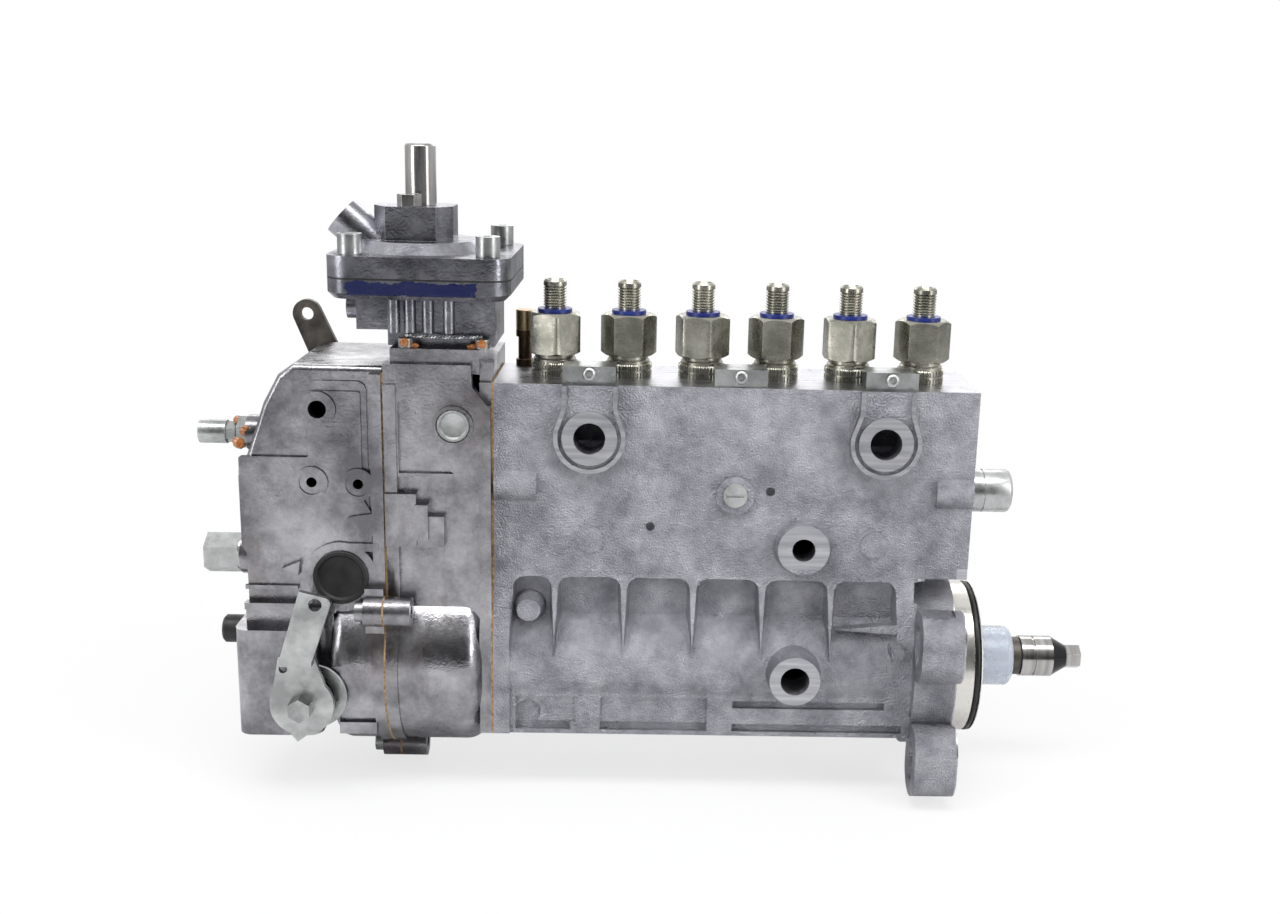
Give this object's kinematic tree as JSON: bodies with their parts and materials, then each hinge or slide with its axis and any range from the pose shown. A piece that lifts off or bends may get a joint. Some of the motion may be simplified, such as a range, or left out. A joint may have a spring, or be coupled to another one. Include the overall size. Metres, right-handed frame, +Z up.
{
  "type": "diesel injection pump",
  "caption": "In-line diesel injection pump with a flange drive, a row of pipe connections, a mechanical governor with levers and a boost compensator on top.",
  "frame": {"origin": "on the camshaft axis, in the mounting face of the flange", "axes": "+X out of the drive end along the camshaft, +Z up, -Y towards the side with the fuel gallery ports"},
  "size_m": [0.3906, 0.1094, 0.278],
  "materials": {
    "cast_aluminium": "rough cast aluminium",
    "die_cast": "smooth die-cast aluminium",
    "machined_aluminium": "machined",
    "steel": "ground steel",
    "chromate_steel": "yellow chromate plated steel",
    "zinc_steel": "bright zinc plated steel",
    "dark_steel": "dark phosphated steel",
    "blue_ring": "blue",
    "rubber": "black rubber",
    "gasket_paper": "brown gasket paper",
    "clear_plastic": "translucent plastic",
    "brass": "brass"
  },
  "bodies": {
    "pump_body": {"pump_housing": "cast_aluminium", "drive_end_cover": "machined_aluminium", "housing_screws": "zinc_steel", "pilot_o_ring": "rubber", "shaft_seal": "rubber", "bearing_outer_races": "steel", "roller_tappets": "steel", "spring_seats": "steel", "plunger_springs": "steel", "barrels": "steel", "rack_end_cap": "zinc_steel", "rack_guide_screw": "zinc_steel", "delivery_valves": "steel", "valve_holders": "chromate_steel", "seal_rings": "blue_ring", "clamp_plates": "zinc_steel", "clamp_screws": "zinc_steel", "side_gaskets": "gasket_paper", "side_cover": "die_cast", "feed_pump_blank": "zinc_steel", "governor_gaskets": "gasket_paper", "governor_housing": "die_cast", "governor_cover": "die_cast", "rubber_plug": "rubber", "core_plug": "zinc_steel", "full_load_stop": "zinc_steel", "idle_spring_cap": "zinc_steel", "shaft_cap": "rubber", "governor_screws": "zinc_steel", "governor_spring": "steel", "lever_disc": "zinc_steel", "compensator_body": "die_cast", "diaphragm": "rubber", "compensator_spring": "steel", "compensator_cover": "die_cast", "compensator_screws": "zinc_steel", "stroke_stop": "steel", "vent_fitting": "brass", "lock_wire": "steel"},
    "camshaft_group": {"camshaft": "steel", "bearing_inner_rings": "steel", "transport_sleeve": "clear_plastic", "shaft_spacer": "dark_steel", "shaft_nut": "steel", "flyweight_carrier": "steel"},
    "flyweight_upper": {"flyweight_1": "steel"},
    "flyweight_lower": {"flyweight_2": "steel"},
    "sliding_sleeve": {"governor_sleeve": "steel"},
    "lever_group": {"governor_lever": "steel"},
    "rack_group": {"control_rack": "steel"},
    "speed_lever_group": {"speed_lever_shaft": "zinc_steel", "speed_lever": "zinc_steel"},
    "stop_lever_group": {"stop_lever": "dark_steel"},
    "boost_pin_group": {"boost_pin": "steel"},
    "element_1": {"control_sleeve_1": "steel"},
    "element_2": {"control_sleeve_2": "steel"},
    "element_3": {"control_sleeve_3": "steel"},
    "element_4": {"control_sleeve_4": "steel"},
    "element_5": {"control_sleeve_5": "steel"},
    "element_6": {"control_sleeve_6": "steel"}
  },
  "joints": [
    {"name": "camshaft_spin", "type": "hinge", "parent": "pump_body", "child": "camshaft_group", "pos_m": [0, 0, 0], "axis": [1, 0, 0], "continuous": true},
    {"name": "rack_slide", "type": "slide", "parent": "pump_body", "child": "rack_group", "axis": [1, 0, 0], "range_m": [-0.006, 0.006]},
    {"name": "governor_lever_swing", "type": "hinge", "parent": "pump_body", "child": "lever_group", "pos_m": [-0.242, 0, 0.025], "axis": [0, 1, 0], "range_deg": [-6.2, 6.2], "deforming": ["governor_spring"]},
    {"name": "governor_sleeve_slide", "type": "slide", "parent": "pump_body", "child": "sliding_sleeve", "axis": [1, 0, 0], "range_m": [-0.0027, 0.0027]},
    {"name": "flyweight_upper_swing", "type": "hinge", "parent": "camshaft_group", "child": "flyweight_upper", "pos_m": [-0.2165, 0, 0.017], "axis": [0, 1, 0], "range_deg": [-16.5, 16.5]},
    {"name": "flyweight_lower_swing", "type": "hinge", "parent": "camshaft_group", "child": "flyweight_lower", "pos_m": [-0.2165, 0, -0.017], "axis": [0, 1, 0], "range_deg": [-16.5, 16.5]},
    {"name": "element_1_turn", "type": "hinge", "parent": "pump_body", "child": "element_1", "pos_m": [-0.1775, 0, 0.0835], "axis": [0, 0, 1], "range_deg": [-25, 25]},
    {"name": "element_2_turn", "type": "hinge", "parent": "pump_body", "child": "element_2", "pos_m": [-0.1455, 0, 0.0835], "axis": [0, 0, 1], "range_deg": [-25, 25]},
    {"name": "element_3_turn", "type": "hinge", "parent": "pump_body", "child": "element_3", "pos_m": [-0.1135, 0, 0.0835], "axis": [0, 0, 1], "range_deg": [-25, 25]},
    {"name": "element_4_turn", "type": "hinge", "parent": "pump_body", "child": "element_4", "pos_m": [-0.0815, 0, 0.0835], "axis": [0, 0, 1], "range_deg": [-25, 25]},
    {"name": "element_5_turn", "type": "hinge", "parent": "pump_body", "child": "element_5", "pos_m": [-0.0495, 0, 0.0835], "axis": [0, 0, 1], "range_deg": [-25, 25]},
    {"name": "element_6_turn", "type": "hinge", "parent": "pump_body", "child": "element_6", "pos_m": [-0.0175, 0, 0.0835], "axis": [0, 0, 1], "range_deg": [-25, 25]},
    {"name": "speed_lever_swing", "type": "hinge", "parent": "pump_body", "child": "speed_lever_group", "pos_m": [-0.2805, -0.045, -0.008], "axis": [0, 1, 0], "range_deg": [-35, 20], "deforming": ["governor_spring"]},
    {"name": "stop_lever_swing", "type": "hinge", "parent": "pump_body", "child": "stop_lever_group", "pos_m": [-0.279, 0.034, 0.115], "axis": [0, 1, 0], "range_deg": [0, 35]},
    {"name": "boost_pin_slide", "type": "slide", "parent": "pump_body", "child": "boost_pin_group", "axis": [0, 0, 1], "range_m": [-0.005, 0], "stiffness_N_per_m": 400, "springref_m": 0.002, "deforming": ["compensator_spring"]}
  ],
  "couplings": [
    {"joint": "governor_lever_swing", "follows": "rack_slide", "rad_per_m": 17.094},
    {"joint": "governor_sleeve_slide", "follows": "rack_slide", "ratio": -0.42735},
    {"joint": "flyweight_upper_swing", "follows": "rack_slide", "rad_per_m": 44.984},
    {"joint": "flyweight_lower_swing", "follows": "rack_slide", "rad_per_m": -44.984},
    {"joint": "element_1_turn", "follows": "rack_slide", "rad_per_m": 71.429},
    {"joint": "element_2_turn", "follows": "rack_slide", "rad_per_m": 71.429},
    {"joint": "element_3_turn", "follows": "rack_slide", "rad_per_m": 71.429},
    {"joint": "element_4_turn", "follows": "rack_slide", "rad_per_m": 71.429},
    {"joint": "element_5_turn", "follows": "rack_slide", "rad_per_m": 71.429},
    {"joint": "element_6_turn", "follows": "rack_slide", "rad_per_m": 71.429}
  ]
}
